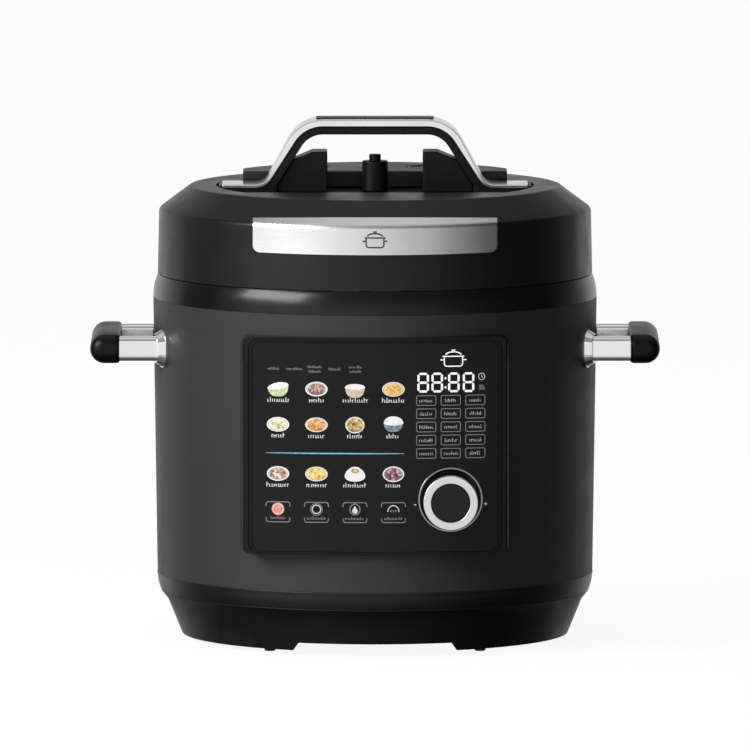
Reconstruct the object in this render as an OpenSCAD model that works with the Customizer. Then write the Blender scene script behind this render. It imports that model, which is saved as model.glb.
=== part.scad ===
// Electric pressure cooker, six-litre class.
// +Z is up, the front (control panel) faces -Y, and the origin is on the table under the centre.

/* [Body] */
// Outer radius of the shell at its lower edge
shell_r_low = 134.9; // [134.5:0.1:136]
// Outer radius of the shell at its upper edge
shell_r_high = 137.4; // [136.5:0.1:138]
// Height of the shell's lower edge
shell_z_low = 41; // [40:1:42]
// Height of the shell's upper edge
shell_z_high = 212; // [210:1:213]
// Thickness of the shell and of the lid cover
wall = 2.4; // [2:0.1:2.6]

/* [Base] */
// Radius of the base at the table
base_r_low = 119.6; // [118:0.1:121]
// Radius of the base under the trim ring
base_r_high = 132.6; // [131:0.1:132.7]
// How far the rubber feet stand below the base
foot_gap = 2.8; // [1.5:0.1:3]
// Distance of each foot from the centre along X
foot_x = 64.7; // [60:0.1:68]
// Distance of each foot from the centre along Y
foot_y = 85; // [78:1:85]

/* [Pots] */
// Outer radius of the removable cooking pot
pot_r = 111.5; // [110:0.1:112]
// Wall thickness of the cooking pot
pot_wall = 1.8; // [1.5:0.1:2.5]
// Inner radius of the fixed outer pot
housing_r = 114; // [113.5:0.1:114.5]

/* [Lid] */
// Radius of the lid at its lower edge
lid_r_low = 134.6; // [134:0.1:135.5]
// Radius of the lid where its wall ends
lid_r_high = 133.8; // [133:0.1:134.5]
// Height of the lid's straight wall
lid_wall_h = 40; // [38:1:41]
// Radius of the flat top of the lid
lid_top_r = 115.3; // [114:0.1:117]
// Number of locking lugs
lugs = 8; // [6:1:9]

/* [Lid handle] */
// Height of the underside of the chrome bar above the recessed deck
bar_rise = 41; // [40:0.1:44]
// Half the spacing of the upper corners
bar_half = 43.3; // [41:0.1:45]
// Half the spacing of the lower corners
leg_half = 67.7; // [66:0.1:69]
// Half the overall length of the handle
foot_end = 94.6; // [93:0.1:96]
// Depth of the handle from front to back
handle_depth = 32; // [28:1:34]
// Thickness of the chrome band along the bar
band = 4.4; // [3:0.1:5]
// Thickness of the black core under the band
core = 4.7; // [4:0.1:5]

/* [Control panel] */
// Width of the glass
glass_w = 151; // [148:1:153]
// Height of the glass
glass_h = 129; // [128:0.1:132]
// Height of the panel's centre above the table
panel_z = 131.2; // [131:0.1:133]
// Radius of the panel's gentle curve
panel_r = 340; // [320:10:600]

/* [Dial] */
// Dial centre along X
dial_x = 46.4; // [44:0.1:48]
// Dial centre height
dial_z = 98.7; // [97:0.1:101]
// Diameter of the knob
knob_d = 33.4; // [32:0.1:34]
// Diameter of the trim ring around the knob
trim_d = 39.6; // [39:0.1:41]
// How far the knob stands out of the panel
knob_out = 21.5; // [18:0.5:22]

/* [Side handles] */
// Height of the handle's centre
side_z = 183; // [182:1:186]
// Half the spacing of the two posts of one handle
post_y = 42; // [40:1:44]
// Distance from the centre to the outside of the grip
grip_x = 176; // [174:1:178]

/* [Hidden] */

fine = 128;
round_fn = 48;
eps = 0.01;
gap = 0.3;

plastic = "#1d1d1f";
soft_black = "#141415";
steel = "#c9cacc";
chrome = "#e3e4e6";
alloy = "#a9abad";

// Heights, from the table up
base_z = foot_gap;
floor_z = 8;
floor_t = 2.5;
base_step_z = 29.5;
trim_z = 30;
pot_floor_z = 50;
sheet = 1.5;
plate_z = 69.5;
pot_z = plate_z + 0.5;
collar_z = shell_z_high + 14.5;
lid_z = collar_z + 0.5;
lid_shoulder_z = lid_z + lid_wall_h;
lid_top_z = lid_shoulder_z + 14;
deck_z = lid_top_z - 4;
plateau_z = lid_top_z + 6.3;
shelf_z = shell_z_high;
lock_z = collar_z + 7.5;
rim_z = collar_z - 0.5;
seal_z = rim_z + gap;
dish_z = lid_z + 19;

// Plan sizes
lug_pitch = 360 / lugs;
lug_w = lug_pitch / 2;
lid_lug_w = lug_w - 2.5;
lock_r = 125.5;
lug_r_in = 119.5;
deck_r = 98.4;
deck_front = -57;
plateau_front = 26;
plateau_half = 82;
plateau_r = 94;
button_x = 38;
button_y = 56;
button_r = 18.8;
float_x = -32;
valve_r = 8.1;
pipe_r = 3;
screw_x = 84;
screw_y = 8;
screw_r = 2;
block_x = 29.5;

// Control panel
panel_y = -139.5;
bezel_side = 7.1;
bezel_under = 2;
bezel_over = 3;
bezel_lip = 0.75;
groove_w = 1.55;
groove_t = 1.1;
glass_t = 2;
glass_inset = 0.8;
tray_back = -118.4;
dial_face_y = panel_y + panel_r - sqrt(panel_r * panel_r - dial_x * dial_x) + 0.3;
cup_floor_y = dial_face_y + 9;
knob_front_y = dial_face_y - knob_out;
shaft_r = 3;
cup_r = trim_d / 2 - 2.6;
mouth_w = 1.4;
mouth_t = 2.2;

// Side handles
post_h = 15;
post_w = 10;
post_r = 3;
grip_h = 18;
grip_l = 100;
grip_in = grip_x - 18.5;
post_in = 126.5;
foot_band = 2.4;
foot_rise = 2.8;

// Condensation cup
cup_z = 166;
cup_h = 34;
cup_half = 22;
cup_in = 139.4;
cup_out = 157.6;

function shell_r(z) =
    shell_r_low + (shell_r_high - shell_r_low) * (z - shell_z_low) / (shell_z_high - shell_z_low);

// Points of an arc, from angle a to angle b
function arc(cx, cy, r, a, b, n = 8) =
    [for (i = [0 : n]) [cx + r * cos(a + (b - a) * i / n), cy + r * sin(a + (b - a) * i / n)]];

// Outline of a rectangle with round corners, centred on the origin
function round_rect(w, h, r, n = 8) =
    concat(
        arc(w / 2 - r, h / 2 - r, r, 0, 90, n),
        arc(r - w / 2, h / 2 - r, r, 90, 180, n),
        arc(r - w / 2, r - h / 2, r, 180, 270, n),
        arc(w / 2 - r, r - h / 2, r, 270, 360, n));

function reversed(list) = [for (i = [len(list) - 1 : -1 : 0]) list[i]];
function flipped(list) = [for (p = list) [-p[0], p[1]]];

// A solid of revolution about Z, from points (radius, height)
module lathe(points) {
    rotate_extrude($fn = fine) polygon(points);
}

module disc(r, z0, z1) {
    translate([0, 0, z0]) cylinder(r = r, h = z1 - z0, $fn = fine);
}

module tube(r_out, r_in, z0, z1) {
    difference() {
        disc(r_out, z0, z1);
        disc(r_in, z0 - 1, z1 + 1);
    }
}

module pin(x, y, r, z0, z1) {
    translate([x, y, z0]) cylinder(r = r, h = z1 - z0, $fn = round_fn);
}

// A cylinder that runs along Y, from y0 to y1
module along_y(x, z, r, y0, y1) {
    translate([x, y1, z]) rotate([90, 0, 0]) cylinder(r = r, h = y1 - y0, $fn = round_fn);
}

// A cylinder that runs along X, from x0 to x1
module along_x(y, z, r, x0, x1) {
    translate([x0, y, z]) rotate([0, 90, 0]) cylinder(r = r, h = x1 - x0, $fn = round_fn);
}

// A box from its low corner to its high corner
module block(low, high) {
    translate(low) cube(high - low);
}

// An XZ outline that runs along Y, from y0 to y1
module prism_y(points, y0, y1) {
    translate([0, y1, 0]) rotate([90, 0, 0]) linear_extrude(y1 - y0) polygon(points);
}

// A YZ outline that runs along X, from x0 to x1
module prism_x(points, x0, x1) {
    translate([x0, 0, 0]) rotate([90, 0, 90]) linear_extrude(x1 - x0) polygon(points);
}

// Part of a ring about Z, w degrees wide and centred on angle a
module sector(r_in, r_out, z0, z1, a, w) {
    rotate([0, 0, a - w / 2])
        rotate_extrude(angle = w, $fn = fine)
            polygon([[r_in, z0], [r_out, z0], [r_out, z1], [r_in, z1]]);
}

module both_sides() {
    children();
    mirror([1, 0, 0]) children();
}

module four_corners() {
    both_sides() {
        children();
        mirror([0, 1, 0]) children();
    }
}

// A coil of round wire about the Z axis through (x, y)
module coil(x, y, r, wire, z0, z1, turns) {
    sides = 8;
    per_turn = 16;
    rings = turns * per_turn;
    ring_points = [for (i = [0 : rings], k = [0 : sides - 1])
        let (a = 360 * i / per_turn, b = 360 * k / sides, q = r + wire * cos(b))
        [x + q * cos(a), y + q * sin(a), z0 + wire + (z1 - z0 - 2 * wire) * i / rings + wire * sin(b)]];
    side_faces = [for (i = [0 : rings - 1], k = [0 : sides - 1])
        let (m = (k + 1) % sides)
        [i * sides + k, i * sides + m, (i + 1) * sides + m, (i + 1) * sides + k]];
    first = [for (k = [sides - 1 : -1 : 0]) k];
    last = [for (k = [0 : sides - 1]) rings * sides + k];
    polyhedron(points = ring_points, faces = concat([first], side_faces, [last]), convexity = 8);
}

// ---------------------------------------------------------------- body

// A solid with the shell's outer surface, cut from whatever is seated on the shell
module shell_solid(extra) {
    lathe([[0, shell_z_low - 1], [shell_r(shell_z_low - 1) + extra, shell_z_low - 1],
        [shell_r(shell_z_high) + extra, shell_z_high], [0, shell_z_high]]);
}

module outer_shell() {
    color(plastic)
    difference() {
        lathe([[shell_r_low - wall, shell_z_low - 4], [shell_r_low - 1.2, shell_z_low - 4],
            [shell_r_low - 1.2, shell_z_low], [shell_r_low, shell_z_low],
            [shell_r_high, shell_z_high], [shell_r_high - wall, shell_z_high]]);
        glass_prism(0, 0, 0, 5, -150, -60);
        block([-14.2, 110, 48.8], [14.2, 150, 67.2]);
        for (y = [-post_y, post_y]) along_x(y, side_z, 3.2, -150, 150);
        for (x = [-16, 16]) along_y(x, cup_z + 8, 1.6, 120, 150);
    }
}

module top_collar() {
    color(plastic)
    lathe([[shell_r_high, shell_z_high], [shell_r_high - 0.25, shell_z_high + 4.5],
        [shell_r_high - 1, shell_z_high + 8.8], [shell_r_high - 2, shell_z_high + 12],
        [shell_r_high - 3.1, collar_z], [127.5, collar_z], [127.5, collar_z - 2.6],
        [132.4, collar_z - 4.5], [132.4, shell_z_high - 5], [134.7, shell_z_high - 5],
        [134.7, shell_z_high]]);
}

module lower_trim_ring() {
    color(plastic)
    lathe(concat(
        arc(shell_r_low - 28, shell_z_low, 28, -23.1, -4, 6),
        [[shell_r_low + 0.3, shell_z_low - 0.6], [shell_r_low + 0.1, shell_z_low],
         [shell_r_low - 1.15, shell_z_low], [shell_r_low - 1.15, shell_z_low - 4.1],
         [shell_r_low - 3.6, shell_z_low - 4.1], [129.2, trim_z + 5], [129.2, trim_z]]));
}

module base_notch() {
    prism_y([[-51, base_z - 1], [51, base_z - 1], [47, base_z + 5], [-47, base_z + 5]], -130, -100);
}

module base_housing() {
    color(plastic)
    difference() {
        union() {
            difference() {
                lathe([[0, floor_z], [113, floor_z], [113, base_z], [base_r_low, base_z],
                    [128.5, 24.5], [base_r_high, base_step_z], [base_r_high, trim_z],
                    [129, trim_z], [129, trim_z + 9], [126.4, trim_z + 9], [126.4, 26.5],
                    [118.2, floor_z + floor_t], [0, floor_z + floor_t]]);
                for (a = [0, 180]) rotate([0, 0, a]) base_notch();
                disc(62, floor_z - 1, floor_z + floor_t + 1);
            }
            for (x = [-40, 40], y = [-98, -72]) {
                pin(x, y, 3.5, floor_z + floor_t - eps, 16);
                pin(x, y, 1.5, 16 - eps, 18.4);
            }
        }
        for (a = [45 : 90 : 315]) rotate([0, 0, a]) pin(66, 0, 1.6, floor_z - 1, floor_z + floor_t + 1);
        four_corners() pin(foot_x, foot_y, 2.1, floor_z - 1, floor_z + floor_t + 1);
    }
}

module base_cover() {
    color(soft_black)
    difference() {
        disc(70, floor_z - 2, floor_z);
        for (a = [45 : 90 : 315]) rotate([0, 0, a]) pin(66, 0, 1.8, 0, 20);
        for (x = [-40 : 10 : 40]) block([x - 1.6, -28, 0], [x + 1.6, 28, 20]);
    }
}

module base_screws() {
    color(steel)
    for (a = [45 : 90 : 315]) rotate([0, 0, a])
        difference() {
            union() {
                pin(66, 0, 3.4, floor_z - 4, floor_z - 2);
                pin(66, 0, 1.5, floor_z - 2 - eps, floor_z + floor_t);
            }
            translate([66, 0, 0]) block([-2.4, -0.45, 0], [2.4, 0.45, floor_z - 3.2]);
            translate([66, 0, 0]) block([-0.45, -2.4, 0], [0.45, 2.4, floor_z - 3.2]);
        }
}

module rubber_feet() {
    color(soft_black)
    four_corners() translate([foot_x, foot_y, 0])
        lathe([[0, 0], [2.9, 0], [3.5, 0.8], [3.8, floor_z], [2, floor_z], [2, floor_z + floor_t],
            [3, floor_z + floor_t], [2, floor_z + floor_t + 2], [0, floor_z + floor_t + 2]]);
}

module outer_pot() {
    color(alloy) {
        difference() {
            lathe([[68, pot_floor_z], [housing_r + sheet, pot_floor_z],
                [housing_r + sheet, shelf_z], [lock_r + sheet, shelf_z],
                [lock_r + sheet, lock_z], [lock_r, lock_z], [lock_r, shelf_z + sheet],
                [housing_r, shelf_z + sheet], [housing_r, pot_floor_z + sheet],
                [68, pot_floor_z + sheet]]);
            for (a = [60 : 120 : 300]) rotate([0, 0, a]) pin(80, 0, 2.2, 40, 60);
        }
        for (i = [0 : lugs - 1])
            sector(lug_r_in, lock_r + 0.2, lock_z - 2, lock_z, i * lug_pitch, lug_w);
    }
}

// ---------------------------------------------------------------- heating and power

module heating_plate() {
    color(alloy) {
        lathe([[15.5, 56], [93, 56], [95, 58], [95, plate_z - 2.5], [93, plate_z - 0.8],
            [80, plate_z], [15.5, plate_z]]);
        for (a = [60 : 120 : 300]) rotate([0, 0, a]) {
            pin(80, 0, 5, pot_floor_z + sheet, 56 + eps);
            pin(80, 0, 2, pot_floor_z - 6, pot_floor_z + sheet + eps);
        }
    }
}

module heating_element() {
    color(steel) {
        tube(64, 56, 52, 56);
        for (y = [-9, 9]) pin(59.2, y, 2.5, 42, 52 + eps);
    }
}

module sensor_housing() {
    color(steel)
    lathe([[12.7, 49], [14, 49], [14, 63], [12.7, 63], [12.7, 50.5], [4, 50.5], [4, 49]]);
}

module sensor_button() {
    color(alloy)
    lathe([[0, 60], [10, 60], [10, 62], [12.3, 62], [12.3, 67.5], [10.5, plate_z + 0.1],
        [0, plate_z + 0.1]]);
}

module sensor_spring() {
    color(steel) coil(0, 0, 8, 0.6, 50.8, 59.8, 5);
}

module pressure_switch() {
    color("#b9b4a2") {
        block([-11, 78, 38], [11, 92, pot_floor_z]);
        for (x = [-7, 0, 7]) block([x - 0.4, 83, 30], [x + 0.4, 87, 38]);
    }
}

module thermal_fuse() {
    color(steel) {
        along_x(30, pot_floor_z - 2.5, 2.5, -92, -78);
        for (x = [[-100, -92], [-78, -70]]) along_x(30, pot_floor_z - 2.5, 0.6, x[0] - eps, x[1] + eps);
    }
}

module power_board() {
    color("#3c5a34")
    difference() {
        block([-48, -104, 16], [48, -64, 17.6]);
        for (x = [-40, 40], y = [-98, -72]) pin(x, y, 1.6, 10, 20);
    }
}

module power_board_parts() {
    top = 17.6;
    color("#c8a23a") block([-34, -94, top], [-8, -72, top + 20]);
    color("#20242c") pin(2, -90, 6.5, top, top + 19);
    color("#20242c") pin(2, -74, 5, top, top + 15);
    color("#1c4c8c") block([14, -96, top], [33, -80, top + 16]);
    color("#eeeeea") block([16, -76, top], [31, -70, top + 7]);
}

module inlet_socket() {
    color(soft_black)
    difference() {
        union() {
            translate([0, 0, 58]) prism_y(round_rect(36, 26, 3), 133.2, 137.6);
            block([-14, 119, 49], [14, 133.2 + eps, 67]);
        }
        translate([0, 0, 58]) prism_y(round_rect(24.6, 16.6, 2), 121.5, 140);
        shell_around_inlet();
        for (p = [[-7, -2], [7, -2], [0, 2]])
            block([p[0] - 1.05, 110, 58 + p[1] - 2.05], [p[0] + 1.05, 125, 58 + p[1] + 2.05]);
    }
}

// The shell next to the inlet, so that the socket's flange sits on its surface
module shell_around_inlet() {
    difference() {
        shell_solid(0);
        block([-14.1, 100, 48.9], [14.1, 150, 67.1]);
    }
}

module inlet_pins() {
    color(chrome)
    for (p = [[-7, -2], [7, -2], [0, 2]])
        block([p[0] - 1, 117.4, 58 + p[1] - 2], [p[0] + 1, 132.8, 58 + p[1] + 2]);
}

// ---------------------------------------------------------------- control panel

// Everything behind the panel's gently curved face, pushed back by the given depth
module behind_face(depth) {
    translate([0, panel_y + panel_r + depth, 0])
        translate([0, 0, panel_z - 100]) cylinder(r = panel_r, h = 200, $fn = 256);
}

// A round-cornered prism about the glass, wider and higher than it by the given amounts on each side
module glass_prism(side, under, over, r, y0, y1) {
    translate([0, 0, panel_z + (over - under) / 2])
        prism_y(round_rect(glass_w + 2 * side, glass_h + under + over, r), y0, y1);
}

// The frame around the glass, with a shadow groove between its inner lip and its outer bead
module control_bezel() {
    half = glass_w / 2 + bezel_side;
    profile = [[half, -100], [half, -115], [half - 0.3, -124], [half - 0.7, -127.5],
        [half - 1.4, -129.2], [half - 2.4, -130], [half - 2.4, -145]];
    color(plastic)
    difference() {
        intersection() {
            glass_prism(bezel_side, bezel_under, bezel_over, 7, -145, -100);
            translate([0, 0, panel_z - 100]) linear_extrude(200)
                polygon(concat(profile, reversed(flipped(profile))));
            behind_face(0);
        }
        glass_prism(0.15, 0.15, 0.15, 5.1, -150, -90);
        difference() {
            glass_prism(bezel_lip + groove_w, bezel_lip + 0.65, bezel_lip + 1.25, 6.2, -150, -100);
            glass_prism(bezel_lip, bezel_lip, bezel_lip, 5.6, -151, -90);
            behind_face(groove_t);
        }
        shell_solid(0.02);
    }
}

module control_glass() {
    color("#0b0b0d")
    difference() {
        intersection() {
            glass_prism(0, 0, 0, 5, -145, -120);
            behind_face(glass_inset);
        }
        behind_face(glass_inset + glass_t);
        along_y(dial_x, dial_z, trim_d / 2 - 0.9, -150, -100);
    }
}

module panel_holder() {
    color(soft_black)
    difference() {
        intersection() {
            glass_prism(-0.3, -0.3, -0.3, 4.7, -145, tray_back);
            behind_face(glass_inset + glass_t);
        }
        difference() {
            glass_prism(-2.3, -2.3, -2.3, 2.7, -145, tray_back - 1.5);
            for (x = [-68, 68], z = [-58, 58]) along_y(x, panel_z + z, 3.6, tray_back - 4.6, tray_back);
        }
        along_y(dial_x, dial_z, 5, -120, -100);
        block([-60, -125, 180], [-30, -100, 184]);
    }
}

module dial_cup() {
    color(soft_black)
    difference() {
        intersection() {
            along_y(dial_x, dial_z, trim_d / 2 - 1, -145, cup_floor_y + 1.6);
            behind_face(glass_inset);
        }
        along_y(dial_x, dial_z, cup_r, -150, cup_floor_y);
        dial_mouth();
        along_y(dial_x, dial_z, 4.6, -150, -100);
    }
}

// The flare at the front of the dial's cup, square to the panel's face
module dial_mouth() {
    longer = 1.5;
    translate([dial_x, dial_face_y + 0.5, dial_z]) rotate([90, 0, asin(dial_x / panel_r)])
        translate([0, 0, -mouth_t])
            cylinder(r1 = cup_r, r2 = cup_r + longer * mouth_w, h = longer * mouth_t, $fn = round_fn);
}

module dial_trim_ring() {
    color(chrome)
    difference() {
        intersection() {
            along_y(dial_x, dial_z, trim_d / 2, -145, -120);
            behind_face(glass_inset - 0.7);
        }
        behind_face(glass_inset);
        along_y(dial_x, dial_z, trim_d / 2 - 1.1, -150, -100);
    }
}

module display_board() {
    color("#2f4f2f")
    difference() {
        block([-71, -124.6, panel_z - 61.5], [71, -123, panel_z + 61.5]);
        along_y(dial_x, dial_z, 7.6, -130, -110);
        for (x = [-68, 68], z = [-58, 58]) along_y(x, panel_z + z, 1.6, -130, -110);
    }
}

module display_module() {
    color("#e9e9e4")
    block([22, -129.7, 160], [67, -124.6, 182]);
}

module encoder_body() {
    color(alloy)
    difference() {
        union() {
            block([dial_x - 7, -123, dial_z - 7], [dial_x + 7, -119.9, dial_z + 7]);
            along_y(dial_x, dial_z, 4.5, -132, -123 + eps);
        }
        along_y(dial_x, dial_z, 3.75, -140, -120.8);
    }
}

module encoder_bush() {
    color("#c9a860")
    difference() {
        along_y(dial_x, dial_z, 3.7, -130.5, -122.6);
        along_y(dial_x, dial_z, shaft_r + 0.05, -140, -110);
    }
}

module encoder_shaft() {
    color(steel)
    along_y(dial_x, dial_z, shaft_r, -148, -122.4);
}

module knob_body() {
    r = knob_d / 2;
    color(soft_black)
    difference() {
        union() {
            along_y(dial_x, dial_z, r - 0.7, knob_front_y + 2, cup_floor_y - 1.6);
            along_y(dial_x, dial_z, 6, -140, cup_floor_y - 1.6);
        }
        difference() {
            along_y(dial_x, dial_z, r - 2.7, -147.5, -100);
            along_y(dial_x, dial_z, 6, -150, -100);
        }
        along_y(dial_x, dial_z, shaft_r, -148, -100);
        along_y(dial_x, dial_z, 4.9, -133.6, -100);
    }
}

module knob_ring() {
    r = knob_d / 2;
    color(chrome)
    translate([dial_x, 0, dial_z]) rotate([90, 0, 0])
        lathe([[11.9, -knob_front_y - 1.9], [11.9, -knob_front_y - 0.3], [12.2, -knob_front_y],
            [r - 0.25, -knob_front_y], [r, -knob_front_y - 0.25], [r, -knob_front_y - 7],
            [r - 0.7, -knob_front_y - 7], [r - 0.7, -knob_front_y - 2],
            [11.9, -knob_front_y - 2]]);
}

module knob_cap() {
    color(plastic)
    translate([dial_x, 0, dial_z]) rotate([90, 0, 0])
        lathe([[0, -knob_front_y - 2], [11.8, -knob_front_y - 2], [11.8, -knob_front_y - 0.9],
            [11.3, -knob_front_y - 0.5], [0, -knob_front_y - 0.5]]);
}

// ---------------------------------------------------------------- side handles

module handle_posts() {
    color(chrome)
    difference() {
        four_corners() translate([0, post_y, side_z])
            prism_x(round_rect(post_w, post_h, post_r), post_in, grip_in + 4);
        shell_solid(0.02);
        four_corners() along_x(post_y, side_z, 3, 120, 145);
    }
}

// Oval collars that stand square to the shell around the posts, and taper towards them
module handle_flanges() {
    r = shell_r(side_z);
    color(chrome)
    difference() {
        four_corners() rotate([0, 0, asin(post_y / (r + 2.8))]) translate([0, 0, side_z]) {
            prism_x(round_rect(17.4, 23.8, 8.6), r - 2, r + 1.2);
            hull() {
                prism_x(round_rect(16.4, 22.6, 8), r + 1.2 - eps, r + 1.3);
                prism_x(round_rect(13.4, 17.6, 5.6), r + 5.4, r + 5.6);
            }
        }
        four_corners() translate([0, post_y, side_z])
            prism_x(round_rect(post_w, post_h, post_r), 110, 150);
        shell_solid(0.02);
    }
}

// Cross-section of a side grip: flat towards the body, round on the outside
function grip_section() =
    let (r = grip_h / 2 - 0.1)
    concat(
        arc(grip_x - r, side_z + grip_h / 2 - r, r, 0, 90, 12),
        arc(grip_in + 1.6, side_z + grip_h / 2 - 1.6, 1.6, 90, 180, 4),
        arc(grip_in + 1.6, side_z - grip_h / 2 + 1.6, 1.6, 180, 270, 4),
        arc(grip_x - r, side_z - grip_h / 2 + r, r, 270, 360, 12));

module side_grip() {
    mid = (grip_in + grip_x) / 2;
    difference() {
        intersection() {
            prism_y(grip_section(), -grip_l / 2, grip_l / 2);
            translate([mid, 0, side_z - 20]) linear_extrude(40)
                polygon(round_rect(grip_x - grip_in, grip_l, 8.6, 12));
        }
        for (y = [-post_y, post_y]) translate([0, y, side_z])
            prism_x(round_rect(post_w, post_h, post_r), grip_in - 5, grip_in + 4);
    }
}

module right_handle_grip() {
    color(soft_black) side_grip();
}

module left_handle_grip() {
    color(soft_black) mirror([1, 0, 0]) side_grip();
}

module handle_bolts() {
    color(steel)
    four_corners() {
        along_x(post_y, side_z, 6, 121, 125);
        along_x(post_y, side_z, 3, 125 - eps, 144);
    }
}

// ---------------------------------------------------------------- condensation cup

module cup_bracket() {
    color(plastic)
    difference() {
        union() {
            block([-26, 132, cup_z - 4], [26, 139, cup_z + cup_h]);
            both_sides() block([cup_half + 0.6, 138, cup_z + 16], [26, 150, cup_z + cup_h]);
        }
        shell_solid(0.02);
        both_sides() block([cup_half, 139.2, cup_z + 23.4], [cup_half + 2.7, 151, cup_z + 26.6]);
    }
    color(plastic)
    for (x = [-16, 16]) along_y(x, cup_z + 8, 1.5, 131, 136.5);
}

module condensation_cup() {
    color("#3a3c40") {
        difference() {
            translate([0, (cup_in + cup_out) / 2, cup_z]) linear_extrude(cup_h)
                polygon(round_rect(2 * cup_half, cup_out - cup_in, 5));
            translate([0, (cup_in + cup_out) / 2, cup_z + 1.8]) linear_extrude(cup_h)
                polygon(round_rect(2 * cup_half - 3.2, cup_out - cup_in - 3.2, 3.4));
        }
        both_sides() block([cup_half - 0.5, 145, cup_z + 23.8], [cup_half + 2.2, 149.5, cup_z + 26.2]);
    }
}

// ---------------------------------------------------------------- cooking pot and seal

module inner_pot() {
    r = pot_r;
    inside = r - pot_wall;
    color("#8f9194")
    lathe(concat(
        [[0, pot_z]],
        arc(r - 14, pot_z + 14, 14, -90, 0, 6),
        [[r, rim_z - 4], [117, rim_z - 2], [117, rim_z], [inside + 2, rim_z],
         [inside, rim_z - 3.5]],
        arc(inside - 12.2, pot_z + 14, 12.2, 0, -90, 6),
        [[0, pot_z + pot_wall]]));
}

module sealing_ring() {
    color("#d8d9d6")
    lathe([[108.3, seal_z], [116.6, seal_z], [116.6, seal_z + 7.8], [108.3, seal_z + 7.8],
        [108.3, seal_z + 5.6], [113, seal_z + 5], [113, seal_z + 2.8], [108.3, seal_z + 2.2]]);
}

// ---------------------------------------------------------------- lid

// Outline of the lid's outer surface, moved out by t
function lid_outline(t) =
    let (slope = atan2(lid_top_z - lid_shoulder_z - 1.4, lid_r_high - 1.7 - lid_top_r))
    concat(
        [[lid_r_low + t, lid_z]],
        arc(lid_r_high - 4, lid_shoulder_z - 2.4, 4 + t, 0, 90 - slope, 5),
        arc(lid_top_r - 1.8, lid_top_z - 3, 3 + t, 90 - slope, 90, 4));

module deck_area(r, front, back, z0, z1) {
    intersection() {
        disc(r, z0, z1);
        block([-r - 1, front, z0 - 1], [r + 1, back, z1 + 1]);
    }
}

module lid_cover() {
    t = wall;
    color(plastic)
    difference() {
        union() {
            lathe(concat(
                lid_outline(0),
                [[0, lid_top_z], [0, lid_top_z - t], [lid_top_r - 4, lid_top_z - t],
                 [lid_r_high - 5.4, lid_shoulder_z - 2.4], [lid_r_low - t, lid_z]]));
            deck_area(deck_r + t, deck_front - t, plateau_front + t, deck_z - t, lid_top_z - 0.5);
            four_corners() pin(screw_x, screw_y, 4.6, dish_z, deck_z - t + eps);
        }
        deck_area(deck_r, deck_front, plateau_front, deck_z, lid_top_z + 1);
        disc(pipe_r + 0.1, deck_z - 10, deck_z + 1);
        four_corners() pin(screw_x, screw_y, screw_r + 0.1, dish_z - 1, lid_top_z);
        pin(button_x, button_y, 4.6, deck_z - 5, lid_top_z + 1);
        pin(float_x, button_y, 4.1, deck_z - 5, lid_top_z + 1);
    }
}

module lid_inner() {
    color(steel) {
        difference() {
            lathe([[0, dish_z], [98, dish_z], [106, dish_z - 6], [106, lid_z + 9], [118.5, lid_z + 9],
                [118.5, lid_z + 1.5], [117, lid_z + 1.5], [117, lid_z + 7.5], [104.5, lid_z + 7.5],
                [104.5, dish_z - 6.7], [97.4, dish_z - sheet], [0, dish_z - sheet]]);
            disc(pipe_r, dish_z - 5, dish_z + 5);
            four_corners() pin(screw_x, screw_y, screw_r + 0.1, dish_z - 5, dish_z + 5);
            pin(float_x, button_y, 4, dish_z - 5, dish_z + 5);
        }
        for (i = [0 : lugs - 1])
            sector(118.3, 125, lid_z + 1.5, lid_z + 3.5, (i + 0.5) * lug_pitch, lid_lug_w);
    }
}

module ring_rack() {
    color(steel) {
        rotate_extrude($fn = fine) translate([106.1, lid_z + 3]) circle(r = 1.2, $fn = 24);
        for (a = [22.5 : 45 : 360]) rotate([0, 0, a]) pin(106.1, 0, 0.9, lid_z + 3, lid_z + 7.5);
    }
}

module lid_screws() {
    color(steel)
    four_corners() {
        pin(screw_x, screw_y, 4, dish_z - sheet - 2.2, dish_z - sheet);
        pin(screw_x, screw_y, screw_r, dish_z - sheet - eps, deck_z + 2.2);
    }
}

// The steel plate that wraps over the front shoulder of the lid
module front_plate() {
    t = 0.8;
    low = lid_shoulder_z - 17.8;
    color(steel)
    difference() {
        intersection() {
            lathe(concat(
                lid_outline(t),
                [[lid_top_r - 2, lid_top_z - 0.02], [lid_top_r - 12, lid_top_z - 3],
                 [lid_r_high - 12, lid_shoulder_z - 10], [lid_r_low - 12, lid_z]]));
            prism_y(concat(
                [[75, lid_top_z], [-75, lid_top_z]],
                arc(-71, low + 4, 4, 180, 270, 5),
                arc(71, low + 4, 4, 270, 360, 5)), -150, -80);
            translate([0, -126.5, lid_shoulder_z + 4.7]) rotate([-5.5, 0, 0])
                block([-80, -60, -60], [80, 60, 0]);
        }
        lathe(concat(lid_outline(0.02), [[0, lid_top_z + 0.02], [0, lid_z - 1], [lid_r_low, lid_z - 1]]));
    }
}

// Half of the handle's line, outside the underside of the chrome band by d on the bar and e on the feet
function handle_line(d, e) =
    let (low = deck_z + foot_rise, high = deck_z + bar_rise,
        lean = atan2(high - low, leg_half - bar_half), shift = tan(lean / 2),
        r_top = 20 + d, r_low = 11.5 - e)
    concat(
        [[0, high + d]],
        arc(bar_half + d * shift - r_top * shift, high + d - r_top, r_top, 90, 90 - lean, 8),
        arc(leg_half + e * shift + r_low * shift, low + e + r_low, r_low, 270 - lean, 270, 8),
        [[foot_end, low + e]]);

// Outline between the handle's line at offset d0 and the same line at d1 on the bar and e1 on the feet
function handle_band(d0, d1, e1) =
    let (outer = handle_line(d1, e1), inner = handle_line(d0, d0))
    concat(reversed(outer), flipped(outer), reversed(flipped(inner)), inner);

module handle_strip() {
    color(chrome)
    prism_y(handle_band(0, band, foot_band), -handle_depth / 2, handle_depth / 2);
}

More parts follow.
